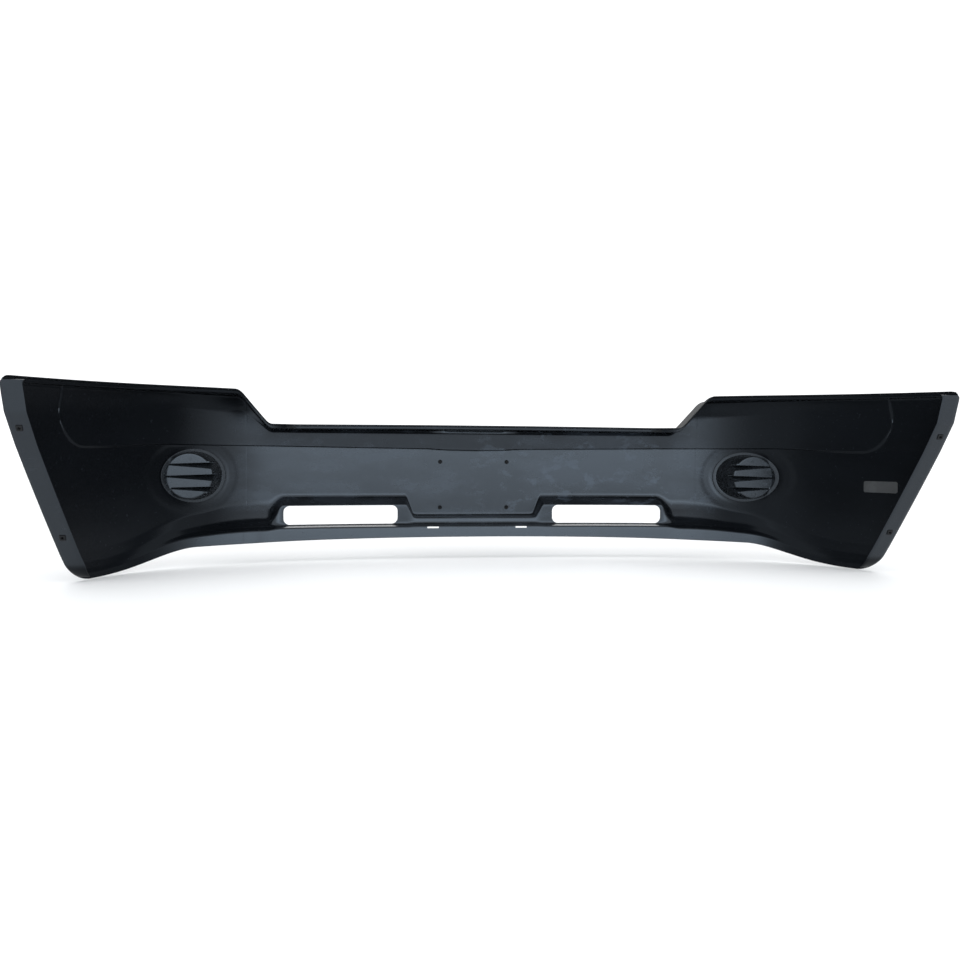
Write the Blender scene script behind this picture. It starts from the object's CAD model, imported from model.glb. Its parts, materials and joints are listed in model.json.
import json
import math

import bmesh
import bpy
import numpy as np
from mathutils import Matrix, Vector
from mathutils.kdtree import KDTree


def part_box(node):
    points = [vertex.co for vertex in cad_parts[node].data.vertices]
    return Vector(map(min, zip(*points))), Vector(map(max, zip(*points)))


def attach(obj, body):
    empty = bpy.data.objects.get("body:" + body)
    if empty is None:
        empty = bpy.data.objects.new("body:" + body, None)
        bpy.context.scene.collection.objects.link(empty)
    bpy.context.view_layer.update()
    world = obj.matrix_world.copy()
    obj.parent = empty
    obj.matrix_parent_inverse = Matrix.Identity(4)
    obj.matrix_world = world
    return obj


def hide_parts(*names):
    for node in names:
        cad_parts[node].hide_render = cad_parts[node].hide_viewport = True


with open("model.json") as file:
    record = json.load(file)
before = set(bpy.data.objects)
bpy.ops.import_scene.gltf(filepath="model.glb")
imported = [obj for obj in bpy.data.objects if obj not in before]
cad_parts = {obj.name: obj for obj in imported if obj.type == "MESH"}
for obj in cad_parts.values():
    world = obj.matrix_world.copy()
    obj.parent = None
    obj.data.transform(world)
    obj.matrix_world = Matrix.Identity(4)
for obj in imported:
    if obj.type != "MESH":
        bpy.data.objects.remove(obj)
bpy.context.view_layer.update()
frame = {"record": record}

# ------------------------------------------------------------------ fascia shell
# The bumper cover itself: one sheet of black polypropylene, about 3 mm thick, injection
# moulded in one shot with its shelf, crease, intakes, skirt and wheel arch flanges. It is
# held by the flanges' nuts, the top lip and the skirt slots.

MM = 0.001
WALL = 3.0
shell_low, shell_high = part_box("fascia_shell")
mounts = {mount["name"]: mount for mount in frame["record"]["mounts"]}
plate = mounts["licence_plate"]
PLATE_LEVEL = plate["pos_m"][2]
NOSE_LINE = shell_high[1] - WALL * MM


def placed(across, forward, up):
    """Millimetres from the middle of the plate holes on the nose, to the frame's metres."""
    return np.stack([across * MM, forward * MM + NOSE_LINE, up * MM + PLATE_LEVEL], axis=-1)


def between(low, high, value):
    return np.clip((value - low) / (high - low), 0.0, 1.0)


def ease(share):
    return share * share * (3 - 2 * share)


def soft_between(low, high, value, round_off):
    """A straight ramp from 0 to 1 whose two ends are rounded."""
    steps = np.linspace(-round_off, round_off, 9)
    return sum(between(low, high, value + step) for step in steps) / len(steps)


def mix(start, end, share):
    return start + (end - start) * share


def sweep(half):
    """Plan line of the nose: a gentle curve, then a tight turn at the corners."""
    share = half / SWEEP_HALF
    return 80 * share ** 2 + 520 * share ** 5.3


def sweep_slope(half):
    share = half / SWEEP_HALF
    return (160 * share + 2756 * share ** 4.3) / SWEEP_HALF


SWEEP_HALF = 950                                   # half width over the corners
RISER_START, RISER_END, RISER_SKEW = 517, 583, 6   # riser between grille and headlamp
INTAKE_IN, INTAKE_OUT, INTAKE_LOW, INTAKE_HIGH = 200, 490, -99, -52
POCKET_IN, POCKET_FULL = 160, 179                  # slanted inboard wall of the pocket
SKIRT_INSET, POCKET_DEPTH = 81, 45
CREASE_END = 896


def crease_level(half):
    rise = mix(93, 98, between(0, 500, half))
    return rise - 10 * ease(between(740, 868, half))


def skirt_edge(half):
    straight = -130 - 7 * (half / 530) ** 2
    return straight - 38 * ease(between(680, 850, half))


def upper_corners(half):
    """Lip, joggle, shelf, shoulder and crease; each is (forward, up, radius)."""
    ramp = soft_between(RISER_START, RISER_END, half, 8)
    front_ramp = soft_between(RISER_START + RISER_SKEW, RISER_END + RISER_SKEW, half, 8)
    outboard = between(RISER_END, SWEEP_HALF, half)
    low_top = 151 - 4 * (half / RISER_START) ** 2
    high_top = 228 - 16 * ((half - 650) / 300) ** 2
    top = mix(low_top, high_top, ramp)
    front_top = mix(low_top, high_top, front_ramp)
    shoulder = mix(133, mix(186, 149, outboard), front_ramp)
    brow = mix(22, mix(20, 12, outboard), front_ramp)
    deeper = ease(between(RISER_START - 70, RISER_START, half))
    shelf = mix(70 + 13 * between(0, RISER_START, half), mix(112, 34, outboard), deeper)
    lip = 14 * mix(1, 0.6, outboard)
    plain = 0 * half
    return [
        (-shelf, top, plain),
        (-shelf + lip, top - 1, plain + 1.6),
        (-shelf + lip + 1, top - 8, plain + 4),
        (-brow, front_top - 9, plain + 9),
        (-9, shoulder, mix(8, 12, ramp)),
        (plain, crease_level(half), plain + 30),
    ]


def lower_corners(half):
    """Foot of the wall, pocket or tuck, and the skirt, in four forms blended across."""
    edge = skirt_edge(half)
    plain = 0 * half
    plate_form = [(0, -80, 5), (2 - POCKET_DEPTH, -84, 5), (-POCKET_DEPTH, -99, 6), (-SKIRT_INSET, -103, 5)]
    intake_form = [(0, INTAKE_HIGH + 20, 12), (-POCKET_DEPTH, INTAKE_HIGH + 2, 5),
                   (-POCKET_DEPTH, INTAKE_LOW - 2, 6), (-SKIRT_INSET, INTAKE_LOW - 5, 5)]
    tuck_form = [(0, -52, 44), (-24, -86, 34), (-52, -102, 24), (-SKIRT_INSET, -109, 5)]
    end_form = [(0, edge + 60, 26), (-2, edge + 36, 26), (-5, edge + 22, 20), (-8, edge + 12, 5)]
    into_intake = soft_between(POCKET_IN, POCKET_FULL, half, 3)
    out_of_intake = ease(between(INTAKE_OUT - 2, 530, half))
    to_corner = ease(between(540, 850, half))
    corners = []
    for forms in zip(plate_form, intake_form, tuck_form, end_form):
        corner = []
        for on_plate, on_intake, on_tuck, on_end in zip(*forms):
            value = mix(on_plate + plain, on_intake, into_intake)
            value = mix(value, on_tuck, out_of_intake)
            corner.append(mix(value, on_end, to_corner))
        corners.append(tuple(corner))
    skirt = mix(SKIRT_INSET + 3, 9, to_corner)
    return corners + [(-skirt, edge, plain)]


ARC_STEPS = 6
# points along the straight run that follows each corner, from the lip to the skirt's edge
RUN_STEPS = [3, 2, 12, 5, 14, 46, 5, 8, 5, 9]


def profile_rows(half):
    """Inner face of the sheet at each half width: rows of forward and up, row by row."""
    corners = upper_corners(half) + lower_corners(half)
    points = [np.stack([forward + 0 * half, up + 0 * half]) for forward, up, _ in corners]
    starts, ends, arcs = [points[0]], [points[0]], [[]]
    for index in range(1, len(points) - 1):
        back = points[index - 1] - points[index]
        ahead = points[index + 1] - points[index]
        back_run, ahead_run = np.hypot(*back), np.hypot(*ahead)
        back, ahead = back / back_run, ahead / ahead_run
        half_angle = np.arccos(np.clip((back * ahead).sum(0), -1, 1)) / 2
        radius = corners[index][2]
        reach = np.minimum(radius / np.tan(half_angle), 0.47 * np.minimum(back_run, ahead_run))
        start, end = points[index] + back * reach, points[index] + ahead * reach
        starts.append(start)
        ends.append(end)
        arc = []
        for step in range(1, ARC_STEPS):
            share = step / ARC_STEPS
            bow = (1 - share) ** 2, 2 * share * (1 - share), share ** 2
            arc.append(bow[0] * start + bow[1] * points[index] + bow[2] * end)
        arcs.append(arc)
    starts.append(points[-1])
    ends.append(points[-1])
    arcs.append([])
    rows = [points[0]]
    for index in range(len(points) - 1):
        first, last = ends[index], starts[index + 1]
        for step in range(1, RUN_STEPS[index] + 1):
            share = step / RUN_STEPS[index]
            if index == 4:
                share = 1 - (1 - share) ** 1.7
            if index == 5:
                share = share ** 1.35
            rows.append(first + (last - first) * share)
        rows += arcs[index + 1] + ([ends[index + 1]] if arcs[index + 1] else [])
    rows = np.array(rows)
    return rows[:, 0], rows[:, 1]


FOG_X, FOG_Z, FOG_RADIUS = 690, 24.5, 58.5


def pressed_in(half, up):
    """Depth of the crease step and of the raised ring round the fog lamp opening."""
    level = crease_level(half) - 2.5 * ease(between(130, 70, half))
    depth = 3.6 + 5 * ease(between(125, 70, half))
    along = half + 2.1 * np.maximum(half - 800, 0)
    turn = 85
    end = CREASE_END - 6 * between(150, 205, up)
    side = along - (end + 2.1 * (end - 800) - turn)
    below = level + turn - up
    apart = np.hypot(np.maximum(side, 0), np.maximum(below, 0))
    apart = apart + np.minimum(np.maximum(side, below), 0) - turn
    sharp = mix(1.1, 3.0, between(800, 870, half))
    step = depth * mix(1, 0.45, between(760, 880, half)) * ease(between(sharp, -sharp, apart))
    from_fog = np.hypot(half - FOG_X, up - FOG_Z)
    ring = 0.8 * ease(between(94, 82, from_fog)) * ease(between(66, 72, from_fog))
    return np.maximum(step, 0) + ring * (1 - ease(between(-6, 0, up - level)))


def inner_face(half):
    """Rows of forward and up, with the plan sweep and the pressed-in detail."""
    forward, up = profile_rows(half)
    stretch = np.hypot(1, sweep_slope(half))
    wall = between(-20, -12, forward)
    return forward - sweep(half) - stretch * wall * pressed_in(half + 0 * up, up), up


ARCH_TOP, ARCH_KINK, ARCH_LOW = (-616.5, 245), (-594, 149), (-441, -148)   # forward and up
FOOT_RUN, FOOT_DROP = 56, 38                       # round foot of the arch edge


def arch_line(up):
    """How far back the wheel arch edge lies at a height: two straights and a round foot."""
    straight = mix(ARCH_LOW[0], ARCH_KINK[0], (up - ARCH_LOW[1]) / (ARCH_KINK[1] - ARCH_LOW[1]))
    above = mix(ARCH_KINK[0], ARCH_TOP[0], (up - ARCH_KINK[1]) / (ARCH_TOP[1] - ARCH_KINK[1]))
    drop = np.clip((ARCH_LOW[1] - up) / FOOT_DROP, 0, 1)
    foot = ARCH_LOW[0] + FOOT_RUN * (0.35 * drop + 0.65 * (1 - np.sqrt(1 - drop ** 2)))
    return np.where(up > ARCH_KINK[1], above, np.where(up < ARCH_LOW[1], foot, straight))


def arch_halves(setback):
    """Half width at which each row meets the wheel arch edge, set back from it."""
    near = np.full(ROWS, 830.0)
    far = np.full(ROWS, 975.0)
    for _ in range(40):
        middle = (near + far) / 2
        forward, up = inner_face(middle)
        own = np.arange(ROWS)
        behind = forward[own, own] < arch_line(up[own, own]) + setback
        far = np.where(behind, middle, far)
        near = np.where(behind, near, middle)
    return near


def spaced(spans):
    """Column positions from spans of (start, end, spacing)."""
    marks = [np.arange(start, end, spacing) for start, end, spacing in spans]
    return np.concatenate(marks + [[spans[-1][1]]])


ROWS = 1 + sum(RUN_STEPS) + ARC_STEPS * (len(RUN_STEPS) - 1)
FIXED_END = 800
columns = spaced([(0, 60, 7.5), (60, 132, 4), (132, 160, 7), (160, 208, 2), (208, 478, 7.5),
                  (478, 610, 2.5), (610, 786, 2.8), (786, 845, 2.2), (845, 912, 0.95),
                  (912, SWEEP_HALF, 1.9)])
share_out = between(FIXED_END, SWEEP_HALF, columns)
ends = arch_halves(1.6)
halves = np.where(columns[:, None] <= FIXED_END, columns[:, None] + 0 * ends,
                  FIXED_END + (ends - FIXED_END)[None, :] * share_out[:, None])

flat = halves.reshape(-1)
own_row = np.tile(np.arange(ROWS), len(columns))
forward, up = inner_face(flat)
inner = np.stack([flat, forward[own_row, np.arange(len(flat))],
                  up[own_row, np.arange(len(flat))]], axis=-1)
inner = inner.reshape(len(columns), ROWS, 3)
mirror = np.array([-1, 1, 1])
inner = np.concatenate([inner[:0:-1] * mirror, inner])
across = np.gradient(inner, axis=0)
down = np.gradient(inner, axis=1)
outward = np.cross(across, down)
outward /= np.linalg.norm(outward, axis=2, keepdims=True)
outer = inner + WALL * outward


def mesh_piece(name, points, faces, scale=True):
    """A mesh object from points in the nose's millimetres."""
    points = np.asarray(points, float)
    if scale:
        points = placed(points[:, 0], points[:, 1], points[:, 2])
    mesh = bpy.data.meshes.new(name)
    mesh.from_pydata(points.tolist(), [], faces)
    mesh.validate()
    piece = bpy.data.objects.new(name, mesh)
    bpy.context.scene.collection.objects.link(piece)
    return piece


def grid_faces(wide, tall, first=0, flip=False, close_wide=False):
    """Quads of a grid of points stored column by column."""
    faces = []
    for column in range(wide if close_wide else wide - 1):
        ahead = (column + 1) % wide
        for row in range(tall - 1):
            face = [first + column * tall + row, first + ahead * tall + row,
                    first + ahead * tall + row + 1, first + column * tall + row + 1]
            faces.append(face[::-1] if flip else face)
    return faces


def ring_faces(count, around):
    """Faces between closed rings of points, stored ring by ring, with both ends capped."""
    faces = []
    for line in range(count - 1):
        for step in range(around):
            after = (step + 1) % around
            faces.append([line * around + step, line * around + after,
                          (line + 1) * around + after, (line + 1) * around + step])
    faces.append(list(range(around)))
    faces.append([(count - 1) * around + step for step in range(around)])
    return faces


def sheet_piece(name, inside, outside, round_over=0.9):
    """Closed sheet from two grids; its cut edges are rounded over a little."""
    wide, tall = inside.shape[:2]
    count = wide * tall
    points = [inside.reshape(-1, 3), outside.reshape(-1, 3)]
    faces = grid_faces(wide, tall) + grid_faces(wide, tall, count, True)
    rim = [(column, 0) for column in range(wide)]
    rim += [(wide - 1, row) for row in range(1, tall)]
    rim += [(column, tall - 1) for column in range(wide - 2, -1, -1)]
    rim += [(0, row) for row in range(tall - 2, 0, -1)]
    middle = []
    for column, row in rim:
        near_column = min(max(column, 1), wide - 2)
        near_row = min(max(row, 1), tall - 2)
        edge = (inside[column, row] + outside[column, row]) / 2
        away = edge - (inside[near_column, near_row] + outside[near_column, near_row]) / 2
        middle.append(edge + round_over * away / np.linalg.norm(away))
    points.append(np.array(middle))
    for index, (column, row) in enumerate(rim):
        after = (index + 1) % len(rim)
        here, ahead = column * tall + row, rim[after][0] * tall + rim[after][1]
        faces.append([ahead, here, 2 * count + index, 2 * count + after])
        faces.append([2 * count + after, 2 * count + index, count + here, count + ahead])
    return mesh_piece(name, np.concatenate(points), faces)


def rebuilt(piece, tool=None, operation="DIFFERENCE"):
    """Join or cut a closed mesh with another one and keep the result as its mesh."""
    step = piece.modifiers.new("shape", "BOOLEAN")
    step.operation = operation
    step.solver = "MANIFOLD"
    step.object = tool
    bpy.context.view_layer.update()
    shaped = piece.evaluated_get(bpy.context.evaluated_depsgraph_get())
    mesh = bpy.data.meshes.new_from_object(shaped)
    piece.modifiers.clear()
    old, piece.data = piece.data, mesh
    mesh.name = piece.name
    bpy.data.meshes.remove(old)
    bpy.data.objects.remove(tool, do_unlink=True)


def outward_faces(piece):
    mesh = bmesh.new()
    mesh.from_mesh(piece.data)
    bmesh.ops.recalc_face_normals(mesh, faces=mesh.faces)
    mesh.to_mesh(piece.data)
    mesh.free()


def smooth(piece, angle=32):
    """Smooth shading that keeps edges sharper than the angle."""
    piece.data.shade_smooth()
    piece.data.set_sharp_from_angle(angle=math.radians(angle))


def block(outline, axis, start, end, place=None):
    """Points and faces of a prism: an outline pushed along an axis (0, 1 or 2)."""
    count = len(outline)
    points = []
    for level in (start, end):
        for first, second in outline:
            spot = [first, second]
            spot.insert(axis, level)
            points.append(place @ Vector(spot) if place else Vector(spot))
    faces = [list(range(count)), list(range(2 * count - 1, count - 1, -1))]
    for index in range(count):
        after = (index + 1) % count
        faces.append([index, index + count, after + count, after])
    return points, faces


def blocks_piece(name, blocks):
    points, faces = [], []
    for some_points, some_faces in blocks:
        base = len(points)
        points += [tuple(point) for point in some_points]
        faces += [[base + index for index in face] for face in some_faces]
    piece = mesh_piece(name, points, faces)
    outward_faces(piece)
    return piece


def rounded_box(low, high, radius, steps=8):
    """Outline of a rectangle with rounded corners."""
    outline = []
    for turn, (x, z) in enumerate([(high[0], high[1]), (low[0], high[1]),
                                   (low[0], low[1]), (high[0], low[1])]):
        centre_x = x - radius if x == high[0] else x + radius
        centre_z = z - radius if z == high[1] else z + radius
        for step in range(steps + 1):
            angle = math.radians(90 * turn + 90 * step / steps)
            outline.append((centre_x + radius * math.cos(angle), centre_z + radius * math.sin(angle)))
    return outline


def circle(x, z, radius, steps=48):
    turns = [2 * math.pi * step / steps for step in range(steps)]
    return [(x + radius * math.cos(turn), z + radius * math.sin(turn)) for turn in turns]


fascia = sheet_piece("fascia", inner, outer)
outward_faces(fascia)

# Wheel arch flanges: the sheet turns in at its rear edge and runs on as a flat strip.
ARCH_FLANGE, FLANGE_FOOT = 38, 852                 # width, and half width where it runs out
FLANGE_PAST = 2.2                                  # how far it laps over the sheet's edge
LEAN_TOP, LEAN_FOOT = 0.23, 1.25                   # lean above the kink and at the round foot
arch_lean = math.atan2(ARCH_LOW[0] - ARCH_KINK[0], ARCH_KINK[1] - ARCH_LOW[1])
flange_levels = np.concatenate([np.linspace(207, 152, 14), np.linspace(149, -148, 60),
                                np.linspace(-151, -180, 14)])
edge_rows = np.arange(4, ROWS - 2)
end_halves = arch_halves(0.0)
_, end_up = inner_face(end_halves)
level_order = np.argsort(end_up[edge_rows, edge_rows])
edge_at = np.interp(flange_levels, end_up[edge_rows, edge_rows][level_order],
                    end_halves[edge_rows][level_order])
sections = []
for level, half in zip(flange_levels, edge_at):
    slope = arch_lean if level <= ARCH_KINK[1] else LEAN_TOP
    if level < ARCH_LOW[1]:
        slope = mix(arch_lean, LEAN_FOOT, (ARCH_LOW[1] - level) / FOOT_DROP)
    ahead = np.array([0, math.cos(slope), math.sin(slope)])
    rear = np.array([half + FLANGE_PAST, float(arch_line(np.array(level))), level])
    width = min(ARCH_FLANGE + 2, max(half + FLANGE_PAST - FLANGE_FOOT, 6))
    outline = [(0.0, 1.6), (0.5, 0.6), (1.6, 0.0)]
    outline += [(mix(1.6, width - 1.4, share), 0.0) for share in (0.2, 0.4, 0.6, 0.8, 1)]
    outline += [(width - 0.4, 0.5), (width, 1.5), (width - 0.4, 2.5), (width - 1.4, WALL)]
    outline += [(mix(width - 1.4, 1.6, share), WALL) for share in (0.25, 0.5, 0.75, 1)]
    outline += [(0.0, WALL)]
    sections.append([rear + np.array([-inboard, 0, 0]) + ahead * deep for inboard, deep in outline])
sections = np.array(sections)
strip_faces = ring_faces(*sections.shape[:2])
for side in (1, -1):
    strip = mesh_piece("strip", sections.reshape(-1, 3) * np.array([side, 1, 1]), strip_faces)
    outward_faces(strip)
    rebuilt(fascia, strip, "UNION")


def arch_nut_frame(side, level):
    """Place of an arch nut on its flange, its z axis square to the flange, to the rear."""
    mount = mounts["arch_" + level + ("_right" if side > 0 else "_left")]
    spot = mount["pos_m"]
    position = Vector([spot[0] / MM, (spot[1] - NOSE_LINE) / MM, (spot[2] - PLATE_LEVEL) / MM])
    return Matrix.Translation(position) @ Matrix.Rotation(math.radians(90) + arch_lean, 4, "X")


ARCH_SPOTS = [(side, level) for side in (-1, 1) for level in ("upper", "lower")]
PLATE_SPOTS = [(across * plate["dims"]["spacing_x_mm"] / 2, height * plate["dims"]["spacing_y_mm"] / 2)
               for across in (-1, 1) for height in (-1, 1)]
SLOT_X, SLOT_LOW, SLOT_HIGH = 114, -109, -105      # skirt slots, 30 mm long
PLATE_HOLE, NUT_HOLE = 4.2, 4.2                    # radius, and half side of a square hole
holes = []
for side in (-1, 1):
    low = (min(side * (INTAKE_IN + 3), side * (INTAKE_OUT - 2)), INTAKE_LOW)
    high = (max(side * (INTAKE_IN + 3), side * (INTAKE_OUT - 2)), INTAKE_HIGH)
    holes.append(block(rounded_box(low, high, 15, 12), 1, -130, -12))
    holes.append(block(circle(side * FOG_X, FOG_Z, FOG_RADIUS, 128), 1, -300, -40))
    slot_low, slot_high = (side * SLOT_X - 15, SLOT_LOW), (side * SLOT_X + 15, SLOT_HIGH)
    holes.append(block(rounded_box(slot_low, slot_high, 1.6, 4), 1, -100, -72))
holes += [block(circle(x, z, PLATE_HOLE, 32), 1, -20, 20) for x, z in PLATE_SPOTS]
holes += [block([(side * 960, 197), (side * 960, 230), (side * 934, 230), (side * 934, 219)], 1, -660, -560)
          for side in (-1, 1)]
nut_hole = rounded_box((-NUT_HOLE, -NUT_HOLE), (NUT_HOLE, NUT_HOLE), 0.6, 3)
holes += [block(nut_hole, 2, -8, 8, arch_nut_frame(*spot)) for spot in ARCH_SPOTS]
rebuilt(fascia, blocks_piece("holes", holes))
smooth(fascia, 34)


class Signal:
    """A shader socket that can stand in a sum."""

    def __init__(self, recipe, socket):
        self.recipe = recipe
        self.socket = socket

    def maths(self, operation, other, swap=False):
        pair = [other, self] if swap else [self, other]
        node = self.recipe.node("ShaderNodeMath", {"operation": operation}, dict(enumerate(pair)))
        return node("Value")

    def __add__(self, other):
        return self.maths("ADD", other)

    def __radd__(self, other):
        return self.maths("ADD", other, True)

    def __sub__(self, other):
        return self.maths("SUBTRACT", other)

    def __rsub__(self, other):
        return self.maths("SUBTRACT", other, True)

    def __mul__(self, other):
        return self.maths("MULTIPLY", other)

    def __rmul__(self, other):
        return self.maths("MULTIPLY", other, True)

    def magnitude(self):
        return self.maths("ABSOLUTE", 0.0)

    def or_more(self, other):
        return self.maths("MAXIMUM", other)

    def above(self, level, blur):
        """0 below the level, 1 above it, with a soft edge."""
        settings = {"interpolation_type": "SMOOTHSTEP"}
        values = {"Value": self, "From Min": level - blur, "From Max": level + blur}
        return self.recipe.node("ShaderNodeMapRange", settings, values)("Result")


class Recipe:
    """The nodes of a material or of a world, all made by one method."""

    def __init__(self, owner):
        self.owner = owner
        owner.use_nodes = True
        self.tree = owner.node_tree
        self.tree.nodes.clear()

    def node(self, kind, settings=None, values=None):
        """Add a node and return a function that gives its outputs by name."""
        made = self.tree.nodes.new(kind)
        for name, setting in (settings or {}).items():
            setattr(made, name, setting)
        for name, value in (values or {}).items():
            if isinstance(value, Signal):
                self.tree.links.new(value.socket, made.inputs[name])
            else:
                made.inputs[name].default_value = value
        return lambda output: Signal(self, made.outputs[output])

    def place(self):
        return self.node("ShaderNodeTexCoord")("Object")

    def split(self):
        parts = self.node("ShaderNodeSeparateXYZ", None, {"Vector": self.place()})
        return parts("X"), parts("Y"), parts("Z")

    def noise(self, scale, detail=3, stretch=(1, 1, 1), rough=0.5):
        where = self.node("ShaderNodeMapping", None, {"Vector": self.place(), "Scale": stretch})
        values = {"Vector": where("Vector"), "Scale": scale, "Detail": detail, "Roughness": rough}
        return self.node("ShaderNodeTexNoise", None, values)("Fac")

    def tint(self, share, dark, light):
        values = {"Factor": share, 6: (*dark, 1), 7: (*light, 1)}
        return self.node("ShaderNodeMix", {"data_type": "RGBA"}, values)(2)

    def bump(self, height, strength, distance, normal=None):
        values = {"Height": height, "Strength": strength, "Distance": distance}
        if normal:
            values["Normal"] = normal
        return self.node("ShaderNodeBump", None, values)("Normal")

    def facing(self):
        """How far the surface faces sideways and upwards in the piece's own frame."""
        normal = self.node("ShaderNodeTexCoord")("Normal")
        parts = self.node("ShaderNodeSeparateXYZ", None, {"Vector": normal})
        return parts("X"), parts("Z")

    def finish(self, values, dull=None, share=None):
        """Plastic with these values, turning into a duller one by the share."""
        surface = self.node("ShaderNodeBsdfPrincipled", None, values)("BSDF")
        if dull:
            second = self.node("ShaderNodeBsdfPrincipled", None, {**values, **dull})("BSDF")
            surface = self.node("ShaderNodeMixShader", None, {0: share, 1: surface, 2: second})("Shader")
        self.node("ShaderNodeOutputMaterial", None, {"Surface": surface})
        return self.owner


def moulded_black():
    """Unpainted black polypropylene: fine spark grain, release smears, flow and witness lines."""
    recipe = Recipe(bpy.data.materials.new("moulded black"))
    x, y, z = recipe.split()
    smear = recipe.noise(9, 4, (0.6, 1, 1.6)).above(0.53, 0.09)
    patch = recipe.noise(22, 5, (0.7, 1, 1.1), 0.65).above(0.60, 0.06)
    scuff = recipe.noise(150, 3, (0.3, 1, 1)).above(0.69, 0.05)
    grain = recipe.noise(1400, 2)
    orange_peel = recipe.noise(180, 2)
    flow = recipe.noise(3.2, 3, (1, 1, 2.5))
    nose_only = y.above(NOSE_LINE - 0.085, 0.03)
    right_of_plate = x.above(0.06, 0.12)
    release = nose_only * (0.35 * smear + patch * (0.25 + 0.75 * right_of_plate))
    witness = 0.0
    for line in (-0.578, 0.588):
        witness = 1 - (x - line).magnitude().above(0.0009, 0.0005) + witness
    witness = witness * y.above(NOSE_LINE - 0.16, 0.01)
    shade = release * 0.75 + scuff * 0.08 + flow * 0.10
    colour = recipe.tint(shade, (0.0018, 0.0021, 0.0026), (0.030, 0.038, 0.050))
    roughness = 0.19 + flow * 0.05 + release * 0.14 + scuff * 0.06 + grain * 0.04
    wavy = recipe.bump(flow, 0.12, 0.004)
    peel = recipe.bump(orange_peel, 0.10, 0.0004, wavy)
    fine = recipe.bump(grain, 0.16, 0.00012, peel)
    scored = recipe.bump(witness, 0.5, 0.0004, fine)
    side, rise = recipe.facing()
    under = (0 - rise).above(0.55, 0.12)
    turned = side.magnitude().above(0.55, 0.2)
    low_corner = rise.above(0.14, 0.14) * x.magnitude().above(0.60, 0.07)
    high_corner = z.above(PLATE_LEVEL + 0.178, 0.008) * x.magnitude().above(0.56, 0.02)
    dry = under.or_more(turned).or_more(low_corner).or_more(high_corner * y.above(NOSE_LINE - 0.5, 0.02))
    return recipe.finish({"Base Color": colour, "Roughness": roughness, "Normal": scored,
                          "IOR": 1.50, "Specular Tint": (0.76, 0.87, 1.0, 1.0)},
                         {"IOR": 1.16}, dry * 0.9)


def grained_black():
    """Outer side of the same sheet: a drier, evenly grained face with faint flow marks."""
    recipe = Recipe(bpy.data.materials.new("grained black"))
    cloud = recipe.noise(12, 4, (0.6, 1, 1.4))
    grain = recipe.noise(1100, 3)
    colour = recipe.tint(cloud * 0.6 + grain * 0.3, (0.010, 0.011, 0.012), (0.018, 0.019, 0.020))
    fine = recipe.bump(grain, 0.22, 0.00015, recipe.bump(cloud, 0.1, 0.002))
    return recipe.finish({"Base Color": colour, "Roughness": 0.42 + cloud * 0.12, "Normal": fine,
                          "IOR": 1.20})


fascia.data.materials.clear()
fascia.data.materials.append(moulded_black())
fascia.data.materials.append(grained_black())
# The moulded finish is on the inner side and the grained one on the outer side.
inner_spots = inner.reshape(-1, 3)
outer_spots = placed(*outer.reshape(-1, 3).T)
nearest = KDTree(2 * len(inner_spots))
for index, spot in enumerate(np.concatenate([placed(*inner_spots.T), outer_spots]).tolist()):
    nearest.insert(spot, index)
nearest.balance()
for face in fascia.data.polygons:
    _, index, apart = nearest.find(face.center)
    face.material_index = int(index >= len(inner_spots) and apart < 5 * MM)
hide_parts("fascia_shell")
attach(fascia, "root")

# ------------------------------------------------------------------ fog lamp blanks
# Two black ABS cups that close the fog lamp openings, injection moulded with three hollow
# fins that read as a louvre from the front. Each is pushed in from behind until its ring
# seats on the shell.

FLOOR, FLOOR_X, FLOOR_RADIUS, RING, SEAT = -190, FOG_X + 5, 53, 5.5, 0.5
FIN_SPOTS = [(24, 17), (-4, 18), (-31.5, 14)]     # height on the floor, width inboard
FIN_NARROW, FIN_LIFT, FIN_DEPTH, FIN_SKIN = 6, 2.2, 27, 2
GATE_SPOT, MARK_SPOT = (FLOOR_X - 2, FOG_Z + 39.5), (FLOOR_X - 1, FOG_Z - 43.5)   # boss and plain ring
AROUND = 144


def nose_point(radius, turn, setback):
    """Point on the nose wall around the fog lamp opening, set back square to the wall."""
    x = FOG_X + radius * np.cos(turn)
    stretch = np.hypot(1, sweep_slope(x))
    return np.stack([x, -sweep(x) - setback * stretch, FOG_Z + radius * np.sin(turn)], axis=-1)


def floor_point(radius, turn, forward):
    x = FLOOR_X + radius * np.cos(turn)
    return np.stack([x, forward + 0 * x, FOG_Z + radius * np.sin(turn)], axis=-1)


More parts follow.
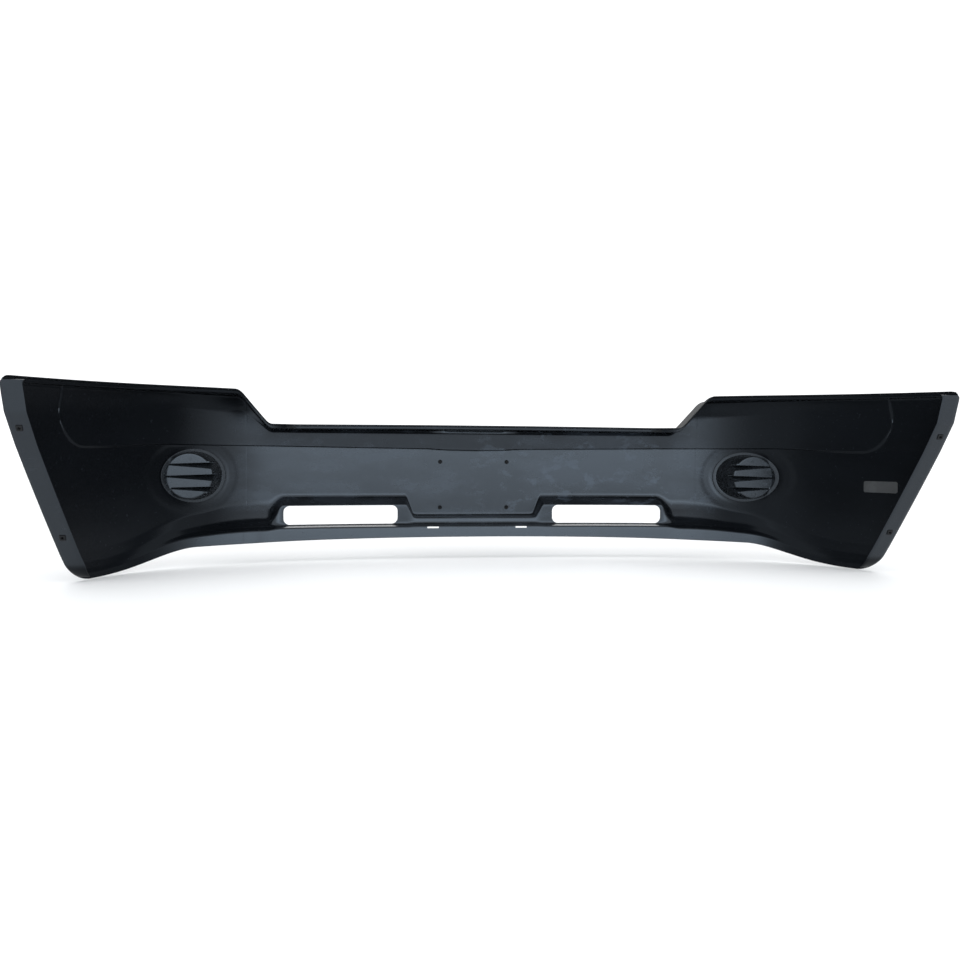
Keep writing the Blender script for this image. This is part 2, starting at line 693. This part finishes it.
def cup_rings():
    """Cross-section of the cup as closed rings, from the front centre round to the rear."""
    turn = np.linspace(0, 2 * math.pi, AROUND, endpoint=False)
    mouth = FOG_RADIUS - 0.2
    rings = [floor_point(share * (FLOOR_RADIUS - 6), turn, FLOOR + WALL) for share in (0.02, 0.5, 1)]
    rings.append(floor_point(FLOOR_RADIUS - 3.6, turn, FLOOR + WALL + 1))
    front_mouth = nose_point(mouth - 2.6, turn, -2.6)
    inner_foot = floor_point(FLOOR_RADIUS - 2.8, turn, FLOOR + WALL + 3)
    tall = np.maximum(front_mouth[:, 1:2] - inner_foot[:, 1:2], 1.5)
    inner_foot[:, 1:2] = front_mouth[:, 1:2] - tall
    rings += [mix(inner_foot, front_mouth, share) for share in (0, 0.25, 0.5, 0.75, 1)]
    rings += [nose_point(mouth - 1.4, turn, -3.0), nose_point(mouth - 0.3, turn, -2.4)]
    rings += [nose_point(mouth, turn, -0.5), nose_point(mouth, turn, SEAT)]
    outer_ring = FOG_RADIUS + RING
    for radius, setback in ((outer_ring - 0.4, 0), (outer_ring, 0.4), (outer_ring, 2.6),
                            (outer_ring - 0.15, 2.9), (outer_ring - 0.5, 3.0), (outer_ring - 1, 3.05),
                            (mouth - 0.6, 3.05), (mouth - 1.2, 3.0), (mouth - 1.6, 2.8)):
        rings.append(nose_point(radius, turn, SEAT + setback))
    rear_mouth = nose_point(mouth - 2.0, turn, SEAT + 2.3)
    outer_foot = floor_point(FLOOR_RADIUS + 0.4, turn, FLOOR + 2.5)
    low = np.minimum(rear_mouth[:, 1:2] - 0.6, outer_foot[:, 1:2])
    outer_foot[:, 1:2] = low
    rings += [mix(rear_mouth, outer_foot, share) for share in (0, 0.2, 0.4, 0.6, 0.8, 1)]
    drop = np.minimum(low, FLOOR + 2.5) - 2.5
    for radius, rise in ((FLOOR_RADIUS + 0.1, 1.5), (FLOOR_RADIUS - 0.4, 0.7), (FLOOR_RADIUS - 1.1, 0.2)):
        edge = floor_point(radius, turn, FLOOR)
        edge[:, 1:2] = drop + rise
        rings.append(edge)
    rings += [floor_point(FLOOR_RADIUS - 2.2, turn, FLOOR), floor_point(FLOOR_RADIUS - 3.5, turn, FLOOR)]
    rings += [floor_point(share * (FLOOR_RADIUS - 6), turn, FLOOR) for share in (1, 0.5, 0.02)]
    return np.array(rings)


def fin(spot, skin):
    """Hollow fin, wide inboard where it breaks out through the cup's side, narrow outboard."""
    height, width = spot
    reach = math.sqrt(FLOOR_RADIUS ** 2 - height ** 2)
    inboard = 1.5 if skin else -6      # the hollow runs out past the cup's side
    ends = [(FLOOR_X - reach + inboard, FOG_Z + height, width, FIN_DEPTH),
            (FLOOR_X + reach - 2 + skin, FOG_Z + height + FIN_LIFT, FIN_NARROW, 3)]
    points = []
    for x, level, across, depth in ends:
        low, high = level - across / 2 - skin, level + across / 2 + skin
        back = FLOOR + 0.6 if skin else FLOOR - 1
        front = FLOOR + depth + skin
        flare = -6 if x < FLOOR_X else 0
        points += [(x, back, low), (x + flare, front, high - 0.8 - skin), (x + flare, front, high),
                   (x, back, high)]
    faces = [[0, 1, 2, 3], [7, 6, 5, 4]]
    faces += [[corner, corner + 4, (corner + 1) % 4 + 4, (corner + 1) % 4] for corner in range(4)]
    return points, faces


def blank_black():
    """Black ABS with a slightly finer, drier surface than the shell."""
    recipe = Recipe(bpy.data.materials.new("blank black"))
    cloud = recipe.noise(35, 4)
    grain = recipe.noise(1800, 2)
    rub = recipe.noise(90, 4, (0.4, 1, 1.4)).above(0.62, 0.07)
    colour = recipe.tint(cloud * 0.5 + rub * 0.4, (0.0026, 0.0029, 0.0034), (0.020, 0.024, 0.029))
    normal = recipe.bump(grain, 0.15, 0.0001, recipe.bump(cloud, 0.08, 0.0008))
    return recipe.finish({"Base Color": colour, "Roughness": 0.22 + cloud * 0.08 + rub * 0.10,
                          "Normal": normal, "IOR": 1.50, "Specular Tint": (0.76, 0.87, 1.0, 1.0)})


def flipped(side, parts):
    """Blocks for the left or the right cup, made from those of the right one."""
    return [([(side * x, y, z) for x, y, z in points], faces) for points, faces in parts]


blank_finish = blank_black()
rings = cup_rings()
for side, name in ((-1, "left"), (1, "right")):
    flip = np.array([side, 1, 1])
    blank = mesh_piece("fog_blank_" + name + "_moulding", rings.reshape(-1, 3) * flip,
                       ring_faces(len(rings), AROUND))
    outward_faces(blank)

    skins = [fin(spot, FIN_SKIN) for spot in FIN_SPOTS]
    rebuilt(blank, blocks_piece("fins", flipped(side, skins)), "UNION")
    boss = block(circle(*GATE_SPOT, 3.6, 24), 1, FLOOR - 1.8, FLOOR + 1)
    rebuilt(blank, blocks_piece("boss", flipped(side, [boss])), "UNION")
    rebuilt(blank, blocks_piece("fin_hollows", flipped(side, [fin(spot, 0) for spot in FIN_SPOTS])))
    dimple = block(circle(*GATE_SPOT, 1.5, 16), 1, FLOOR - 3, FLOOR - 0.6)
    ring_outer = block(circle(*MARK_SPOT, 6.5, 32), 1, FLOOR - 1, FLOOR + 0.8)
    rebuilt(blank, blocks_piece("plain_ring", flipped(side, [dimple, ring_outer])))
    ring_inner = block(circle(*MARK_SPOT, 4.2, 24), 1, FLOOR - 0.1, FLOOR + 1.2)
    rebuilt(blank, blocks_piece("plain_pip", flipped(side, [ring_inner])), "UNION")
    smooth(blank, 36)
    blank.data.materials.clear()
    blank.data.materials.append(blank_finish)
    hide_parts("fog_blank_" + name)
    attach(blank, "root")

# ------------------------------------------------------------------ plate nuts
# Four black nylon push-in nuts for the licence plate screws. The domed, ringed head lies
# on the inner face of the nose and the split shank grips the edge of its hole.


def turned(name, profile, place, around=48):
    """Lathe a closed profile of (radius, height) about z; the first and last lie on the axis."""
    points = []
    for radius, height in profile:
        for step in range(around):
            turn = 2 * math.pi * step / around
            spot = Vector((radius * math.cos(turn), radius * math.sin(turn), height))
            points.append(tuple(place @ spot))
    piece = mesh_piece(name, points, ring_faces(len(profile), around))
    outward_faces(piece)
    smooth(piece, 40)
    return piece


def nut_black():
    """Black nylon, glossier than the shell and a little uneven."""
    recipe = Recipe(bpy.data.materials.new("nut black"))
    cloud = recipe.noise(220, 3)
    grain = recipe.noise(2600, 2)
    colour = recipe.tint(cloud, (0.0012, 0.0014, 0.0018), (0.006, 0.007, 0.009))
    normal = recipe.bump(grain, 0.15, 0.00008)
    return recipe.finish({"Base Color": colour, "Roughness": 0.45 + cloud * 0.2,
                          "Normal": normal, "IOR": 1.30})


nut_finish = nut_black()
head_profile = [(0.01, 1.5), (0.7, 1.45), (1.1, 1.2), (1.3, 0.6), (1.7, 0.15), (2.0, 0.15), (3.6, 1.3),
                (4.2, 1.8), (4.6, 2.0), (5.1, 1.85), (5.4, 1.3), (5.5, 0.6), (5.4, 0.0), (4.0, 0.0),
                (4.0, -2.7), (3.7, -3.0), (2.7, -3.0), (2.5, -2.8), (2.5, -0.1), (0.01, 0.0)]
for (x, z), name in zip(PLATE_SPOTS, ("lower_left", "upper_left", "lower_right", "upper_right")):
    place = Matrix.Translation((x, -sweep(abs(x)) - 0.2, z)) @ Matrix.Rotation(math.radians(90), 4, "X")
    nut = turned("plate_nut_" + name + "_nylon", head_profile, place)
    nut.data.materials.append(nut_finish)
    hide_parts("plate_nut_" + name)
    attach(nut, "root")

# ------------------------------------------------------------------ arch nuts
# Four black nylon expansion nuts for the wheel arch liner screws: a square head on the
# rear face of the flange and a square shank through it, bored for the screw.

for side, level in ARCH_SPOTS:
    name = "arch_nut_" + level + ("_right" if side > 0 else "_left")
    place = arch_nut_frame(side, level)
    levels = [(2.0, 5.0), (1.8, 5.7), (1.3, 6.0), (0.2, 6.0), (0.2, 4.0), (-6.5, 4.0), (-8.8, 3.0)]
    outline_points = []
    for height, half in levels:
        outline = rounded_box((-half, -half), (half, half), min(1.4, half * 0.3), 5)
        outline_points += [tuple(place @ Vector((x, y, height - 0.2))) for x, y in outline]
    nut = mesh_piece(name + "_nylon", outline_points, ring_faces(len(levels), len(outline)))
    outward_faces(nut)
    rebuilt(nut, blocks_piece("countersink", [block(circle(0, 0, 3.6, 40), 2, 1.2, 4, place)]))
    rebuilt(nut, blocks_piece("bore", [block(circle(0, 0, 2.5, 40), 2, -12, 6, place)]))
    smooth(nut, 40)
    nut.data.materials.clear()
    nut.data.materials.append(nut_finish)
    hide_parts(name)
    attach(nut, "root")

# ------------------------------------------------------------------ blank label
# A small dark paper-faced film label, stuck on the inner face of the right side wall by
# its own adhesive. It is blank.

label_low, label_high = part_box("blank_label")
LABEL_X = (label_low[0] / MM, label_high[0] / MM)
LABEL_Z = ((label_low[2] - PLATE_LEVEL) / MM, (label_high[2] - PLATE_LEVEL) / MM)
LABEL_CORNER = 0.06                                # share of the length taken by a round corner
wide, tall = 40, 16
label_grid = []
for column in np.linspace(0, 1, wide):
    for row in np.linspace(0, 1, tall):
        pinch = max(0.0, LABEL_CORNER - min(column, 1 - column)) / LABEL_CORNER
        inset = 0.12 * (1 - math.sqrt(max(0.0, 1 - pinch ** 2)))
        height = mix(inset, 1 - inset, row)
        label_grid.append((mix(LABEL_X[0] + 0.3, LABEL_X[1] - 0.3, column), mix(*LABEL_Z, height)))
label_grid = np.array(label_grid).reshape(wide, tall, 2)


def label_layer(setback):
    x = label_grid[..., 0]
    stretch = np.hypot(1, sweep_slope(x))
    return np.stack([x, -sweep(x) - setback * stretch, label_grid[..., 1]], axis=-1)


label = sheet_piece("blank_label_film", label_layer(0.55), label_layer(0.12), 0.1)
outward_faces(label)
smooth(label, 40)


def label_film():
    recipe = Recipe(bpy.data.materials.new("label film"))
    fibre = recipe.noise(900, 3)
    stain = recipe.noise(60, 3).above(0.55, 0.1)
    colour = recipe.tint(fibre * 0.5 + stain * 0.4, (0.016, 0.018, 0.020), (0.034, 0.037, 0.040))
    return recipe.finish({"Base Color": colour, "Roughness": 0.55 + fibre * 0.12,
                          "Normal": recipe.bump(fibre, 0.2, 0.0001)})


label.data.materials.append(label_film())
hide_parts("blank_label")
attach(label, "root")

# ------------------------------------------------------------------ studio
# A pale floor that runs far back, an even pale surround, and soft boxes on both sides
# of the camera, which looks in from behind the cover at about its own height.


def pale_floor():
    recipe = Recipe(bpy.data.materials.new("pale floor"))
    speckle = recipe.noise(6, 3)
    colour = recipe.tint(speckle, (0.93, 0.935, 0.94), (0.96, 0.96, 0.96))
    return recipe.finish({"Base Color": colour, "Roughness": 0.6})


floor = mesh_piece("floor", np.array([(-30, -30, 0), (30, -30, 0), (30, 30, 0), (-30, 30, 0)]),
                   [[0, 1, 2, 3]], scale=False)
floor.location.z = shell_low[2] - 0.001
floor.data.materials.append(pale_floor())

surround = Recipe(bpy.data.worlds.new("pale surround"))
bpy.context.scene.world = surround.owner
heading = surround.node("ShaderNodeTexCoord")("Generated")
parts = surround.node("ShaderNodeSeparateXYZ", None, {"Vector": heading})
sideways = parts("X").magnitude().above(0.74, 0.12) * parts("Y").above(0.0, 0.12)
glow = 1.32 - sideways * 1.2
light = surround.node("ShaderNodeBackground", None, {"Color": (0.98, 0.99, 1.0, 1), "Strength": glow})
surround.node("ShaderNodeOutputWorld", None, {"Surface": light("Background")})


def soft_box(name, spot, aim, wide, tall, power):
    light = bpy.data.lights.new(name, "AREA")
    light.shape = "RECTANGLE"
    light.size, light.size_y = wide, tall
    light.energy = power
    light.color = (0.84, 0.93, 1.0)
    lamp = bpy.data.objects.new(name, light)
    lamp.location = spot
    lamp.rotation_euler = (Vector(aim) - Vector(spot)).to_track_quat("-Z", "Y").to_euler()
    bpy.context.scene.collection.objects.link(lamp)


soft_box("soft box behind camera", (-0.2, -4.6, 1.3), (0, 0.3, 0.3), 7.0, 2.6, 96)
soft_box("strip light over camera", (-0.2, -3.8, 0.85), (0, 0.3, 0.2), 4.5, 0.6, 18)

camera_data = bpy.data.cameras.new("camera")
camera_data.sensor_width = 36
camera_data.lens = 32.2875
camera_data.shift_x = 0.00770833
camera_data.shift_y = -0.00552083
camera = bpy.data.objects.new("camera", camera_data)
camera.location = placed(-312.6, -2266.3, 66.5).tolist()
turn = Matrix.Rotation(math.radians(-7.80), 3, "Z") @ Matrix.Rotation(math.radians(-1.01), 3, "X")
turn = turn @ Matrix.Rotation(math.radians(-0.31), 3, "Y") @ Matrix.Rotation(math.radians(90), 3, "X")
camera.rotation_euler = turn.to_euler()
bpy.context.scene.collection.objects.link(camera)
bpy.context.scene.camera = camera
bpy.context.scene.view_settings.view_transform = "Standard"
